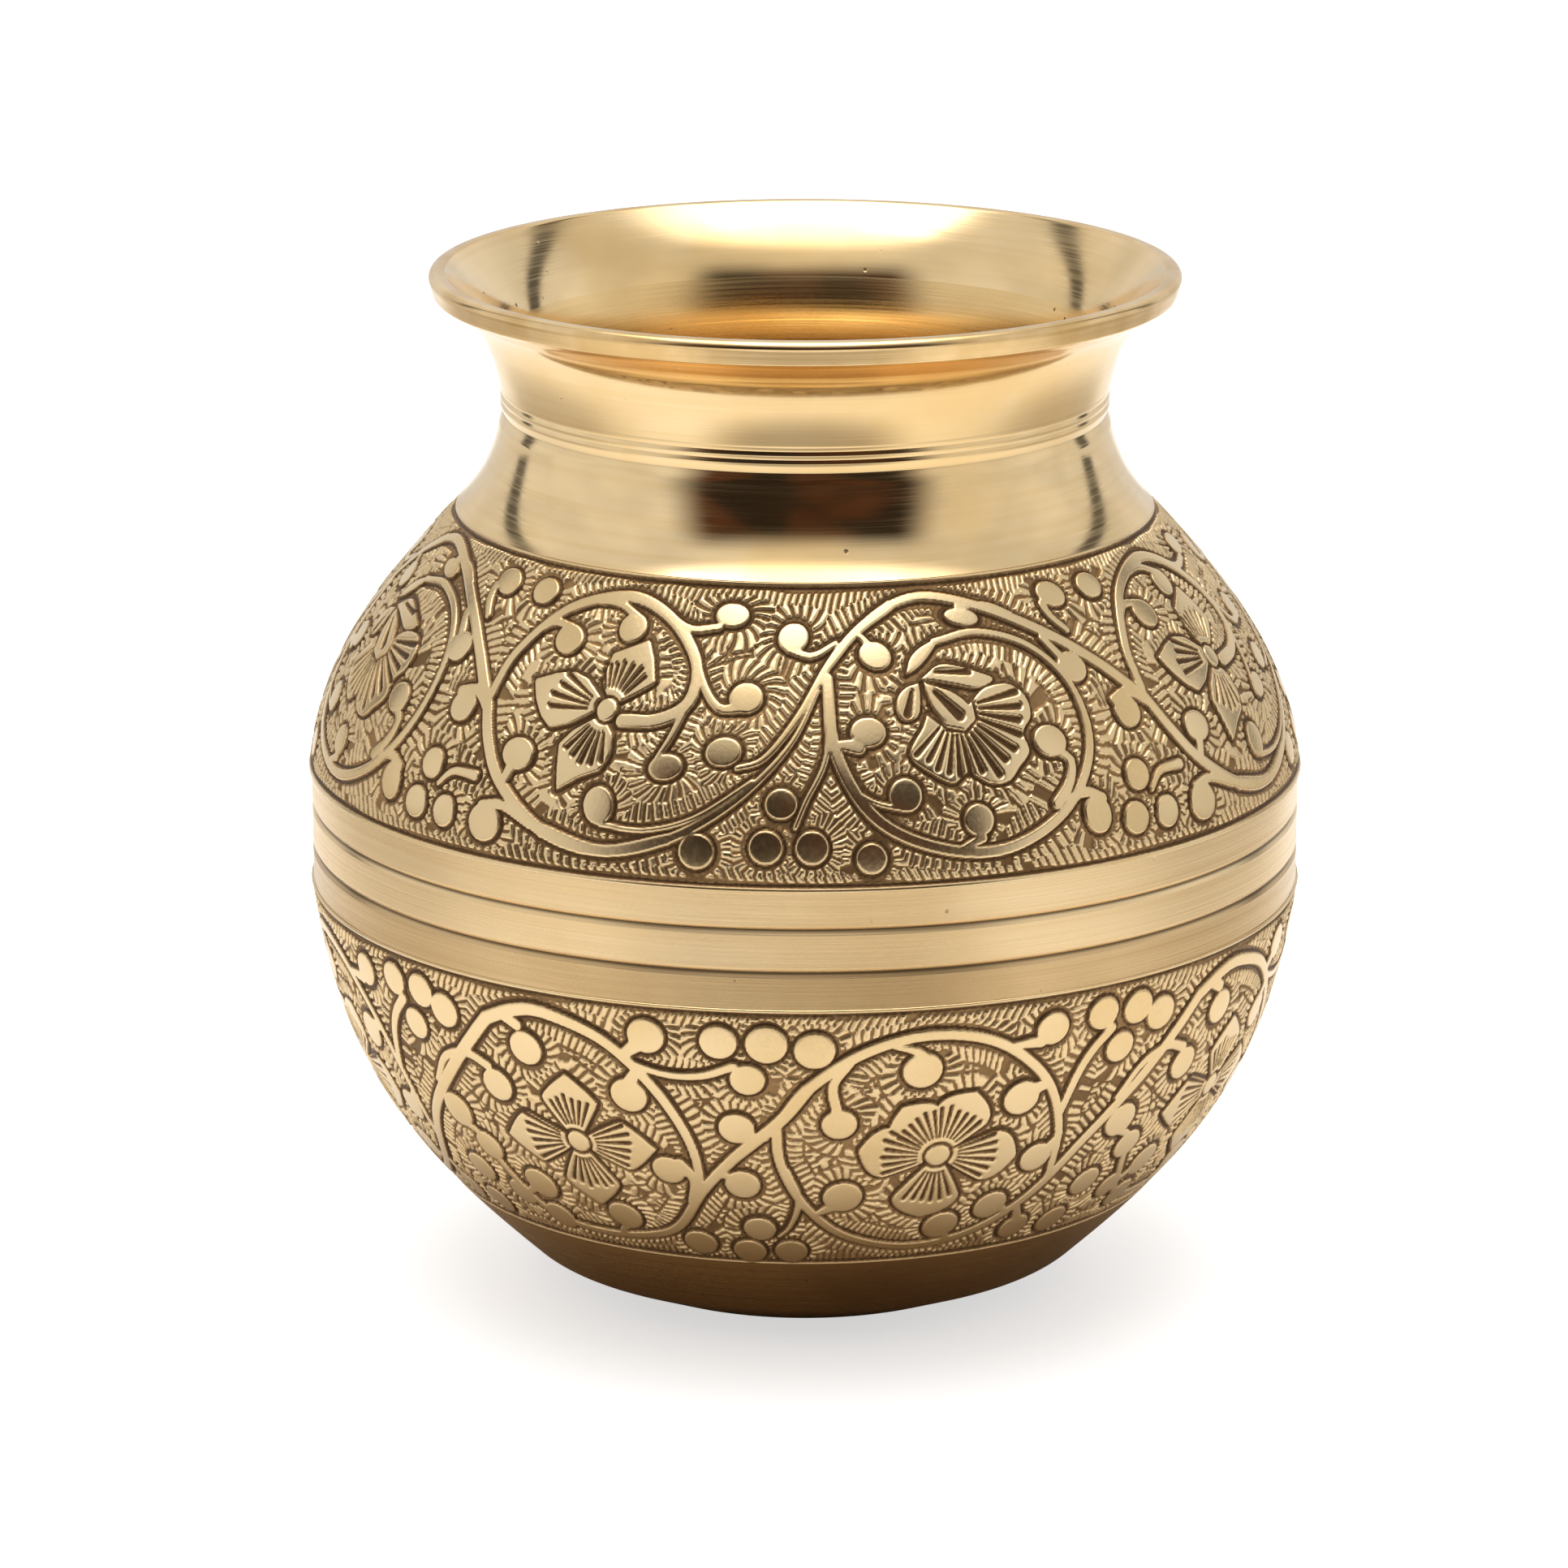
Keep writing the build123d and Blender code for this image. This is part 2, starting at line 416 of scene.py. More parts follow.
def drift(x, y, size, seed):
    """Slow random change over a band, from -1 to 1, which closes after a whole repeat."""
    cells = max(1, round(REPEAT / size))
    u, v = x / REPEAT * cells, y / size + 50
    i, j = np.floor(u), np.floor(v)
    a, b = fade(0, 1, u - i), fade(0, 1, v - j)
    corner = [[chance((i + p) % cells, j + q, seed) for p in (0, 1)] for q in (0, 1)]
    low = corner[0][0] * (1 - a) + corner[0][1] * a
    high = corner[1][0] * (1 - a) + corner[1][1] * a
    return 2 * (low * (1 - b) + high * b) - 1


def flowing(points, step=0.7):
    """A smooth line through a few points, with any values after x and y carried along."""
    points = np.array(points, float)
    ends = np.vstack([2 * points[0] - points[1], points, 2 * points[-1] - points[-2]])
    t = np.linspace(0, 1, 12, endpoint=False)[:, None]
    parts = []
    for a, b, c, d in zip(ends, ends[1:], ends[2:], ends[3:]):
        bend = 2 * b + (c - a) * t + (2 * a - 5 * b + 4 * c - d) * t**2 + (3 * b - a - 3 * c + d) * t**3
        parts.append(bend / 2)
    return spaced(np.vstack([*parts, points[-1:]]), step)


def spaced(points, step):
    """The same line with evenly spaced points about a step apart."""
    along = lengths(points[:, :2])
    return read_at(points, along, np.linspace(0, along[-1], max(2, round(along[-1] / step) + 1)))


def beside(x, y, a, b):
    """How far along a straight stretch places lie, the same held to 0 to 1, and how far from it."""
    run = b - a
    t = ((x - a[0]) * run[0] + (y - a[1]) * run[1]) / (run @ run)
    held = np.clip(t, 0, 1)
    return t, held, np.hypot(x - a[0] - held * run[0], y - a[1] - held * run[1])


class Band:
    """The raised work of one repeat: how far each place is from it, and where along its edge."""

    def __init__(self, low, high):
        self.columns = BAND_COLUMNS // REPEATS
        self.pixel = REPEAT / self.columns
        self.low, self.high = low, high
        self.y = np.linspace(low, high, round((high - low) / self.pixel) + 1)
        self.x = np.arange(self.columns) * self.pixel
        size = (len(self.y), self.columns)
        self.gap = np.full(size, 9.0)
        self.along = np.zeros(size)
        self.owner = np.zeros(size)
        self.dome = np.zeros(size)
        self.cuts = np.zeros(size)
        self.pieces = 0

    def window(self, points, reach):
        """The rows and columns near some points, and the x and y of each."""
        points = np.asarray(points)[:, :2]
        (x0, y0), (x1, y1) = points.min(0) - reach, points.max(0) + reach
        columns = np.arange(math.floor(x0 / self.pixel), math.ceil(x1 / self.pixel) + 1)
        rows = np.where((self.y >= y0) & (self.y <= y1))[0]
        place = np.ix_(rows, columns % self.columns)
        return place, *np.meshgrid(columns * self.pixel, self.y[rows])

    def press(self, place, gap, along, dome=0.0):
        """Add one piece of work where it is nearer than those before it."""
        nearer = gap < self.gap[place]
        for field, value in ((self.along, along), (self.owner, self.pieces), (self.dome, dome)):
            field[place] = np.where(nearer, value, field[place])
        self.gap[place] = np.where(nearer, gap, self.gap[place])

    def stem(self, *points, half=0.5, end=None):
        """A raised strand, tapering from half its width at the start to the end's."""
        self.pieces += 1
        path = flowing(points)
        along = lengths(path)
        halves = np.interp(along, (0, along[-1]), (half, half if end is None else end))
        for k, (a, b) in enumerate(zip(path, path[1:])):
            place, x, y = self.window((a, b), REACH)
            t, held, away = beside(x, y, a, b)
            gap = away - halves[k] - (halves[k + 1] - halves[k]) * held
            self.press(place, gap, along[k] + np.clip(t, -3, 4) * (along[k + 1] - along[k]))

    def berry(self, x, y, wide=1.8, high=1.8, lean=0.0):
        """A round or oval berry with a slightly domed top."""
        self.pieces += 1
        place, px, py = self.window([(x, y)], REACH + wide)
        c, s = math.cos(math.radians(lean)), math.sin(math.radians(lean))
        u, v = (px - x) * c + (py - y) * s, (py - y) * c - (px - x) * s
        far = np.hypot(u / wide, v / high)
        angle = np.arctan2(v / high, u / wide)
        mean = (wide + high) / 2
        self.press(place, (far - 1) * min(wide, high), angle * (mean + 1.0), 1 - far**2)

    def shape(self, *points, sharp=False):
        """A raised shape inside a closed line, through the points or straight between them."""
        self.pieces += 1
        points = np.array([*points, points[0]], float)
        path = spaced(points, 0.5) if sharp else flowing(points, 0.5)
        place, x, y = self.window(path, REACH)
        best, along = np.full(x.shape, np.inf), np.zeros(x.shape)
        inside = np.zeros(x.shape, bool)
        for s, a, b in zip(lengths(path), path, path[1:]):
            run = b - a
            if run @ run < 1e-12:
                continue
            _, held, away = beside(x, y, a, b)
            along = np.where(away < best, s + held * np.linalg.norm(run), along)
            best = np.minimum(best, away)
            crossed = (a[1] > y) != (b[1] > y)
            slope = run[0] / run[1] if run[1] else 0.0
            inside ^= crossed & (x < a[0] + (y - a[1]) * slope)
        self.press(place, np.where(inside, -best, best), along)

    def petal(self, angle, length, half, point, widest, skew=0.0):
        """A petal from the flower's middle; a higher point makes its end rounder."""
        t = np.linspace(0, 1, 22)
        rise = np.clip(t / widest, 0, 1) ** 0.85
        fall = np.clip((t - widest) / (1 - widest), 0, 1)
        width = half * rise * (1 - fall**point)
        bend = skew * t**2
        edge = np.vstack([
            np.stack([t * length, bend + width], axis=1),
            np.stack([t * length, bend - width], axis=1)[-2:0:-1],
        ])
        c, s = math.cos(math.radians(angle)), math.sin(math.radians(angle))
        turned = edge @ np.array([(c, s), (-s, c)]) + self.middle
        self.shape(*turned, sharp=True)

    def cut(self, start, end, half=0.2):
        """A line cut into the raised work, with pointed ends."""
        start, end = np.array(start, float), np.array(end, float)
        place, x, y = self.window((start, end), 1.0)
        _, held, away = beside(x, y, start, end)
        taper = half * (0.45 + 0.60 * held)
        depth = 1 - fade(taper - 0.08, taper + 0.12, away)
        self.cuts[place] = np.maximum(self.cuts[place], depth)

    def rays(self, angles, near, far, half=0.2, middle=None):
        """Cut lines that fan out from a flower's middle."""
        cx, cy = self.middle if middle is None else middle
        for k, angle in enumerate(angles):
            c, s = math.cos(math.radians(angle)), math.sin(math.radians(angle))
            end = far * (0.94 + 0.12 * float(chance(k, angle, 3)))
            self.cut((cx + near * c, cy + near * s), (cx + end * c, cy + end * s), half)

    def disc(self, radius):
        """The flower's round middle, with a groove round it."""
        cx, cy = self.middle
        place, x, y = self.window([self.middle], 3.0)
        away = np.abs(np.hypot(x - cx, y - cy) - radius - 0.14)
        self.cuts[place] = np.maximum(self.cuts[place], 1 - fade(0.08, 0.26, away))
        self.berry(cx, cy, radius, radius)

    def borders(self, low_gap, high_gap):
        """The plain edges of the band, which the rows of short strokes stand on."""
        self.pieces += 1
        x, y = np.meshgrid(self.x, self.y)
        place = np.ix_(range(len(self.y)), range(self.columns))
        self.press(place, y - self.low - low_gap, x)
        self.pieces += 1
        self.press(place, self.high - high_gap - y, x)

    def relief(self, pitch, row, seed):
        """Height of every place, 0 to 1, and how brightly it is rubbed, -0.35 in outlines to 1."""
        x, y = np.meshgrid(self.x, self.y)
        gap = self.gap
        beyond = (gap - OUTLINE) / row + 0.12 * drift(x, y, 4.0, seed)
        tier = np.floor(beyond)
        slant = chance(self.owner, tier, seed) - 0.5
        phase = (self.along + slant * gap + 0.12 * drift(x, y, 2.0, seed + 1)) / pitch + 0.5 * tier
        number = np.floor(phase)
        luck = chance(number, tier, self.owner)
        half = pitch * (0.30 + 0.06 * luck)
        across = np.abs(phase - number - 0.5) * pitch
        stroke = 1 - fade(half - 0.09, half + 0.09, across)
        end = np.minimum(beyond - tier, tier + 1 - beyond) * row
        stroke *= fade(0.02, 0.24, end) * fade(OUTLINE - 0.06, OUTLINE + 0.10, gap)
        stroke *= fade(0.01, 0.05, luck) * (0.76 + 0.18 * chance(number, tier, seed))
        stroke *= (0.94 + 0.06 * drift(x, y, 0.5, seed + 2)) * (1 - fade(-0.12, 0.02, -gap))
        raised = 1 - fade(-0.10, 0.12, gap)
        raised *= 1 - 0.04 * np.exp(np.minimum(gap, 0) / 0.3)
        raised *= (1 - 0.85 * self.cuts) * (0.95 + 0.05 * np.clip(self.dome, 0, 1))
        outline = fade(-0.08, 0.04, gap) * (1 - fade(OUTLINE - 0.10, OUTLINE + 0.08, gap))
        rubbed = (1 - fade(-0.16, 0.02, gap)) * (1 - self.cuts)
        rubbed = np.maximum(rubbed, stroke) - 0.35 * np.maximum(outline, self.cuts)
        return np.maximum(raised, stroke), rubbed


def upper_work():
    """Scrolls of the shoulder: an open three-petalled flower, then a half-opened bloom."""
    band = Band(-16.28, 14.29)
    band.borders(0.45, 0.35)
    band.stem((-15.2, -1.1), (-13.1, -5.0), (-10.2, -8.6), (-4.5, -12.3), (1.9, -13.4), (8.4, -11.8),
              half=0.68, end=0.6)
    band.stem((-4.5, -12.3), (1.9, -13.4), (8.4, -11.8), (14.8, -7.9), (20.0, -2.6), (23.2, 3.0),
              half=0.72, end=0.22)
    band.stem((14.9, -4.7), (17.6, -3.7), (21.0, 0.4), (24.4, 5.6), (28.0, 9.1), (32.6, 11.7),
              half=0.3, end=0.65)
    band.stem((24.4, 5.6), (28.0, 9.1), (32.6, 11.7), (38.0, 12.4), (45.5, 10.4), (52.3, 7.0), (57.5, 3.2),
              (62.0, -1.3), half=0.5, end=0.72)
    band.stem((-15.1, -1.0), (-14.1, 4.3), (-9.5, 9.6), (-1.6, 11.8), (4.8, 10.0), (9.0, 5.8), (9.1, 1.6),
              (6.0, -0.5), (2.0, -0.9), half=0.6, end=0.72)
    band.stem((9.3, 2.6), (7.9, -1.6), (6.5, -4.4), half=0.5, end=0.3)
    band.stem((8.8, 6.4), (10.6, 3.0), (12.4, 1.1), (14.4, 1.1), half=0.45, end=0.5)
    band.stem((4.2, 10.4), (7.6, 9.0), (11.2, 9.4), half=0.5, end=0.45)
    band.stem((-12.0, 7.0), (-10.4, 8.0), (-8.0, 7.7), half=0.35, end=0.5)
    band.stem((-6.0, 10.8), (-2.5, 10.9), (0.3, 9.8), half=0.3, end=0.5)
    band.stem((-9.2, -6.2), (-9.9, -8.2), half=0.7, end=0.5)
    band.stem((1.6, -10.9), (6.0, -11.1), (11.0, -9.6), (16.5, -5.9), half=0.3, end=0.25)
    band.stem((19.8, 7.3), (22.5, 6.6), (25.4, 7.9), half=0.5, end=0.35)
    band.stem((24.0, 2.5), (23.9, -3.4), (21.8, -7.8), (20.8, -10.2), half=0.35, end=0.25)
    band.stem((24.2, 4.2), (24.8, -2.9), (28.4, -9.3), (34.5, -12.5), (41.5, -13.1), (48.4, -10.0),
              (52.5, -4.5), (52.6, 1.6), (49.1, 6.1), (43.0, 8.2), (37.2, 7.6), half=0.68, end=0.4)
    band.stem((27.5, 9.0), (28.6, 8.4), (29.4, 7.4), half=0.3, end=0.5)
    band.stem((48.5, 9.6), (45.5, 10.9), (41.5, 11.0), half=0.3, end=0.45)
    band.stem((25.4, -2.4), (27.2, -2.6), half=0.5, end=0.8)
    band.stem((26.6, -6.8), (28.6, -8.0), (30.8, -8.6), half=0.25, end=0.3)
    band.stem((36.6, -12.8), (38.9, -11.9), half=0.3, end=0.5)
    band.stem((48.7, -4.8), (49.7, -5.8), (49.0, -7.8), (47.2, -9.6), half=0.5, end=0.6)
    band.stem((52.7, 4.6), (51.4, 6.6), half=0.6, end=0.5)
    band.stem((53.6, 10.0), (54.0, 8.6), (55.4, 7.0), half=0.6, end=0.45)
    band.stem((57.6, -0.9), (60.0, -0.4), (62.6, -2.2), half=0.6, end=0.5)
    band.stem((58.9, -10.0), (60.6, -8.5), (63.6, -8.4), half=0.3, end=0.55)
    band.stem((48.6, -9.4), (50.6, -8.9), (52.4, -9.8), half=0.5, end=0.6)
    band.stem((65.2, -11.0), (67.6, -10.6), (71.2, -12.0), half=0.55, end=0.4)
    for x, y, wide, high in (
        (-7.7, 6.5, 2.0, 1.6), (0.2, 8.6, 1.85, 1.6), (-9.0, -5.5, 1.95, 1.6), (1.2, -9.2, 1.6, 1.85),
        (7.6, -5.0, 1.8, 1.3), (13.4, -3.2, 1.9, 1.45), (12.6, 10.7, 2.2, 1.35), (15.3, 2.2, 1.9, 1.6),
        (20.3, 8.5, 1.9, 1.6), (19.4, -8.0, 1.6, 1.5), (18.0, -12.1, 1.65, 1.65), (22.4, -12.1, 1.6, 1.65),
        (11.4, -12.7, 1.75, 1.7), (28.0, -13.2, 1.5, 1.5), (29.9, 6.5, 1.95, 1.5), (41.6, 9.9, 2.3, 1.0),
        (28.3, -1.2, 1.9, 1.5), (31.6, -7.4, 1.65, 1.65), (38.7, -10.2, 1.55, 1.55), (47.9, -3.6, 1.9, 1.6),
        (53.8, 3.2, 1.9, 1.65), (55.6, 10.9, 2.2, 1.45), (62.6, 10.9, 2.1, 1.45), (58.8, -2.2, 1.8, 1.65),
        (57.4, -8.3, 1.55, 1.55), (56.2, -12.3, 1.6, 1.6), (60.4, -12.4, 1.5, 1.6), (51.6, -11.2, 1.6, 1.9),
        (65.8, -12.5, 1.95, 1.9),
    ):
        band.berry(x, y, wide, high, 12 * math.sin(x))
    band.shape((0.3, 0.4), (-1.5, 2.6), (-1.3, 5.7), (0.7, 6.6), (2.9, 7.6), (4.1, 5.5), (4.9, 3.1),
               (2.6, 1.6), sharp=True)
    band.shape((0.0, 0.4), (-3.3, 2.9), (-5.4, 3.4), (-7.6, 2.9), (-10.1, 1.9), (-9.0, 0.0),
               (-7.6, -1.6), (-6.1, -2.6), (-3.8, -1.9), sharp=True)
    band.shape((-0.3, -0.4), (-3.3, -2.4), (-4.5, -3.9), (-4.1, -6.2), (-3.6, -8.4), (-1.4, -6.9),
               (0.7, -6.0), (1.6, -4.5), (1.4, -2.4), sharp=True)
    band.middle = (0.0, 0.0)
    band.rays((113, 103, 93, 83), 2.3, 4.9, 0.2)
    band.rays((70, 58, 47), 2.3, 5.2, 0.2)
    band.rays((153, 163, 173, 183), 2.4, 6.7, 0.27)
    band.rays((230, 242, 254, 266, 278), 2.3, 5.4, 0.22)
    band.disc(1.2)
    band.shape((33.1, 4.3), (33.9, 6.0), (35.5, 7.2), (38.0, 7.9), (36.0, 5.9), (34.4, 4.8))
    band.shape((34.6, 3.8), (37.2, 5.2), (39.5, 4.9), (41.7, 4.1), (43.4, 3.2), (41.2, 2.4), (38.8, 2.9),
               (36.7, 3.4))
    band.shape((34.5, 3.5), (32.9, 3.1), (31.7, 1.9), (31.7, 0.2), (32.6, -0.3), (33.9, 0.2), (34.4, 1.9))
    band.shape((40.0, 1.2), (41.9, 2.4), (44.8, 2.6), (46.5, 1.2), (46.5, -0.9), (45.1, -2.4), (45.3, -4.3),
               (43.8, -5.7), (42.4, -6.9), (40.3, -6.9), (38.2, -5.7), (36.6, -6.6), (34.5, -5.6),
               (32.4, -3.6), (34.1, -1.0), (35.1, 0.4), (37.2, -0.8))
    band.shape((35.0, 3.9), (37.2, 2.9), (39.4, 1.3), (39.8, -0.2), (38.6, -1.2), (36.9, -0.9), (35.7, 0.5),
               (35.2, 2.1))
    band.cut((36.6, 4.5), (40.6, 4.2), 0.3)
    band.cut((33.5, 2.6), (32.7, 0.4), 0.42)
    band.cut((36.1, 2.5), (38.4, -0.1), 0.5)
    band.rays((8, -3, -14, -25, -38, -50, -62), 2.9, 7.4, 0.34, middle=(37.9, 0.6))
    band.rays((-74, -85, -95, -105, -116, -127, -139), 2.6, 6.4, 0.27, middle=(37.9, 0.6))
    side_shade = ((40.2, 1.4), (40.3, -0.6), (38.8, -1.8), (36.8, -1.4), (35.1, 0.3), (34.8, 2.6))
    for start, end in (*zip(side_shade, side_shade[1:]), ((35.3, 3.5), (38.8, 2.4))):
        band.cut(start, end, 0.2)
    return band


def lower_work():
    """Scrolls of the bowl: a four-petalled flower, then a five-petalled one."""
    band = Band(-16.48, 16.57)
    band.borders(0.3, 0.35)
    band.stem((-16.2, -1.2), (-13.9, -2.6), (-12.2, -7.2), (-8.6, -12.3), (-1.5, -13.6), (5.6, -12.6),
              (9.7, -10.3), (13.4, -4.6), (17.4, 0.2), (22.0, 4.6), (24.7, 8.2), half=0.5, end=0.7)
    band.stem((17.4, 0.2), (22.0, 4.6), (24.7, 8.2), (30.0, 12.0), (36.4, 13.6), (43.3, 12.2),
              (49.0, 7.6), (51.9, 1.6), (52.8, -5.0), half=0.68, end=0.5)
    band.stem((21.6, 4.2), (22.0, -0.8), (24.6, -6.6), (29.4, -11.4), (37.0, -13.8), (44.6, -12.6),
              (50.8, -8.2), (56.1, -0.9), (62.0, 5.4), (68.5, 12.4), half=0.55, end=0.75)
    band.stem((-8.6, 12.4), (-5.1, 13.9), (-1.5, 14.2), (4.5, 12.3), (9.2, 8.0), (12.3, 2.6), (13.2, -2.4),
              (12.3, -6.2), half=0.75, end=0.5)
    band.stem((-18.2, 3.4), (-15.6, 6.7), (-12.2, 7.8), (-9.6, 7.0), half=0.4, end=0.6)
    band.stem((-7.5, 13.2), (-5.0, 12.4), half=0.3, end=0.7)
    band.stem((6.6, 10.4), (10.6, 9.3), (14.4, 9.4), (17.6, 10.6), half=0.4, end=0.5)
    band.stem((6.4, 10.8), (8.2, 12.2), half=0.5, end=0.8)
    band.stem((7.8, 9.3), (7.0, 7.8), half=0.5, end=0.8)
    band.stem((11.2, -1.2), (12.6, -3.4), (11.9, -6.6), half=0.7, end=0.6)
    band.stem((-9.4, -8.4), (-11.0, -9.6), half=0.6, end=0.4)
    band.stem((2.4, -11.6), (1.2, -12.8), half=0.6, end=0.4)
    band.stem((18.4, 3.0), (20.4, 2.6), half=0.5, end=0.5)
    band.stem((16.8, -2.6), (15.4, -2.2), half=0.5, end=0.5)
    band.stem((22.4, -1.6), (23.8, -5.6), (22.8, -9.6), (21.4, -11.4), half=0.6, end=0.25)
    band.stem((28.8, 11.0), (27.2, 8.6), (27.6, 5.8), half=0.45, end=0.55)
    band.stem((33.0, 12.6), (35.2, 12.0), (36.2, 11.0), half=0.3, end=0.6)
    band.stem((49.4, 6.8), (47.8, 6.4), half=0.6, end=0.8)
    band.stem((52.4, 0.4), (51.4, -1.2), half=0.4, end=0.8)
    band.stem((48.4, -9.2), (46.8, -8.8), half=0.5, end=0.8)
    band.stem((42.0, -12.6), (40.6, -11.2), half=0.5, end=0.8)
    band.stem((25.8, -7.6), (27.8, -6.4), half=0.4, end=0.8)
    band.stem((51.6, 3.0), (52.8, 7.1), (54.2, 9.6), (56.2, 11.6), half=0.5, end=0.6)
    band.stem((45.2, 11.6), (48.0, 11.6), half=0.4, end=0.7)
    band.stem((50.4, -9.4), (51.4, -11.6), half=0.5, end=0.7)
    for x, y, size in (
        (-4.2, 10.0, 1.9), (-8.8, 5.0, 1.9), (6.8, 6.5, 1.95), (9.9, -2.2, 1.85), (-7.8, -7.4, 2.2),
        (2.7, -10.0, 2.15), (-16.5, 0.2, 2.1), (9.1, 13.2, 1.9), (16.2, 13.1, 1.85), (20.8, 13.0, 2.05),
        (25.4, 12.4, 2.0), (18.9, 9.2, 1.75), (17.6, 3.6, 1.85), (17.8, -3.5, 1.95), (19.2, -10.2, 1.95),
        (17.6, -14.2, 2.1), (22.8, -14.1, 2.1), (11.5, -13.2, 2.1), (35.9, 9.9, 2.0), (27.9, 4.2, 1.8),
        (46.7, 5.6, 2.0), (50.1, -2.2, 1.9), (46.4, -8.3, 2.1), (40.8, -10.6, 2.2), (28.6, -5.2, 2.2),
        (49.2, 12.8, 1.8), (55.0, 13.4, 1.8), (59.4, 13.2, 1.85), (57.7, 9.3, 1.75), (62.7, 11.9, 1.9),
        (51.6, -12.9, 2.0), (57.6, -13.2, 2.1), (59.4, -7.7, 2.0), (63.6, -3.6, 1.9), (69.4, -12.4, 2.1),
        (65.0, -9.8, 1.9),
    ):
        band.berry(x, y, size, size * 0.97)
    band.middle = (0.0, 0.0)
    for angle, length, half, skew in ((92, 8.0, 3.3, -0.3), (2, 9.0, 3.1, 0.0), (-88, 8.8, 3.5, -0.2),
                                      (184, 9.4, 3.2, 0.3)):
        band.petal(angle, length, half, 1.35, 0.6, skew)
        band.rays([angle + k for k in (-25, -15, -5, 5, 15, 25)], 2.2, length * 0.66, 0.2)
    band.disc(1.3)
    band.middle = (38.4, -0.2)
    for angle, length, half in ((66, 8.0, 3.1), (-8, 9.3, 3.2), (-94, 8.8, 3.9), (172, 8.6, 3.2),
                                (124, 7.6, 2.9)):
        band.petal(angle, length, half, 2.6, 0.62)
        band.rays([angle + k for k in (-24, -14, -4, 6, 16, 26)], 2.3, length * 0.7, 0.2)
    band.disc(1.35)
    return band


def band_piece(name, work, outline, first_flower, pitch, row, depth, seed, node, skin):
    """The engraved skin of a band: relief outside, and a plain back inside the wall."""
    along = lengths(outline)
    places = np.linspace(0, along[-1], len(work.y))
    surface = read_at(outline, along, places)
    normal = outward(surface)
    normal = np.vstack([normal[1:2], normal[1:-1], normal[-2:-1]])
    shift = round(first_flower / 360 * BAND_COLUMNS)
    height, rubbed = (
        np.tile(np.roll(field, shift, axis=1), (1, REPEATS)) for field in work.relief(pitch, row, seed)
    )
    sink = depth * (1 - height)
    sink[0] = sink[-1] = 0
    angle = np.arange(BAND_COLUMNS) * 2 * math.pi / BAND_COLUMNS
    r = surface[:, :1] - normal[:, :1] * sink
    z = surface[:, 1:] - normal[:, 1:] * sink
    face = np.stack([r * np.sin(angle), -r * np.cos(angle), z], axis=-1)
    back = around(spaced(set_back(surface, SKIN - 0.02)[::-1], 3.0), BAND_COLUMNS)
    rows = np.concatenate([face, back])
    rubbed = np.concatenate([rubbed, np.zeros(back.shape[:2])])
    row_material = np.zeros(len(rows), int)
    mesh = turned_mesh(name, rows, {"rubbed": rubbed}, [skin], row_material, closed=True, strips=3)
    return placed(mesh, node)


# ---------------------------------------------------------------- materials

BRASS = (0.92, 0.69, 0.385, 1)
BRASS_WARM = (0.84, 0.585, 0.275, 1)
TARNISH = (0.34, 0.20, 0.085, 1)
# Dark brown for the dirt in pits, and for the painted shade in the turned lines.
DIRT_AND_GROOVE_SHADE = (0.05, 0.026, 0.010, 1)


class Shade:
    """Short ways to add nodes to a tree. Each gives the output socket, and node() the node."""

    def __init__(self, tree):
        self.tree = tree

    def node(self, kind, sockets=(), **settings):
        made = self.tree.nodes.new("ShaderNode" + kind)
        for key, value in settings.items():
            setattr(made, key, value)
        for key, value in dict(sockets).items():
            if isinstance(value, bpy.types.NodeSocket):
                self.tree.links.new(value, made.inputs[key])
            else:
                made.inputs[key].default_value = value
        return made

    def math(self, operation, a, b=0.0, c=0.0):
        return self.node("Math", {0: a, 1: b, 2: c}, operation=operation).outputs[0]

    def remap(self, value, low, high, out_low=0.0, out_high=1.0):
        """The value taken smoothly from one range to another."""
        sockets = {"Value": value, "From Min": low, "From Max": high, "To Min": out_low, "To Max": out_high}
        return self.node("MapRange", sockets, interpolation_type="SMOOTHSTEP").outputs["Result"]

    def mix(self, factor, a, b):
        return self.node("Mix", {0: factor, 6: a, 7: b}, data_type="RGBA").outputs[2]

    def noise(self, vector, scale, detail=2.0):
        sockets = {"Vector": vector, "Scale": scale, "Detail": detail}
        return self.node("TexNoise", sockets).outputs["Fac"]

    def place(self):
        return self.node("TexCoord").outputs["Object"]

    def field(self, name):
        return self.node("Attribute", attribute_name=name).outputs["Fac"]

    def turned_noise(self, per_mm, drag, detail=3.0):
        """Noise drawn out round the axis, as fine lines from a lathe or a buffing wheel."""
        x, y, _ = self.node("SeparateXYZ", {0: self.place()}).outputs
        along = self.math("MULTIPLY", self.field("turning"), per_mm)
        drawn = {"X": along, "Y": self.math("MULTIPLY", x, drag), "Z": self.math("MULTIPLY", y, drag)}
        return self.noise(self.node("CombineXYZ", drawn).outputs[0], 1.0, detail)

    def spots(self, scale, low, high):
        """1 in small scattered spots and 0 elsewhere."""
        cells = self.node("TexVoronoi", {"Vector": self.place(), "Scale": scale, "Randomness": 1.0})
        return self.remap(cells.outputs["Distance"], low, high, 1.0, 0.0)

    def bump(self, height, strength, distance, under=None):
        sockets = {"Height": height, "Strength": strength, "Distance": distance}
        if under is not None:
            sockets["Normal"] = under
        return self.node("Bump", sockets).outputs[0]


def new_material(name, **sockets):
    """A new material, its node helper, and its shader with these values."""
    made = bpy.data.materials.new(name)
    made.use_nodes = True
    made.node_tree.nodes.clear()
    shade = Shade(made.node_tree)
    shader = shade.node("BsdfPrincipled", sockets)
    shade.node("OutputMaterial", {"Surface": shader.outputs[0]})
    return made, shade, shader


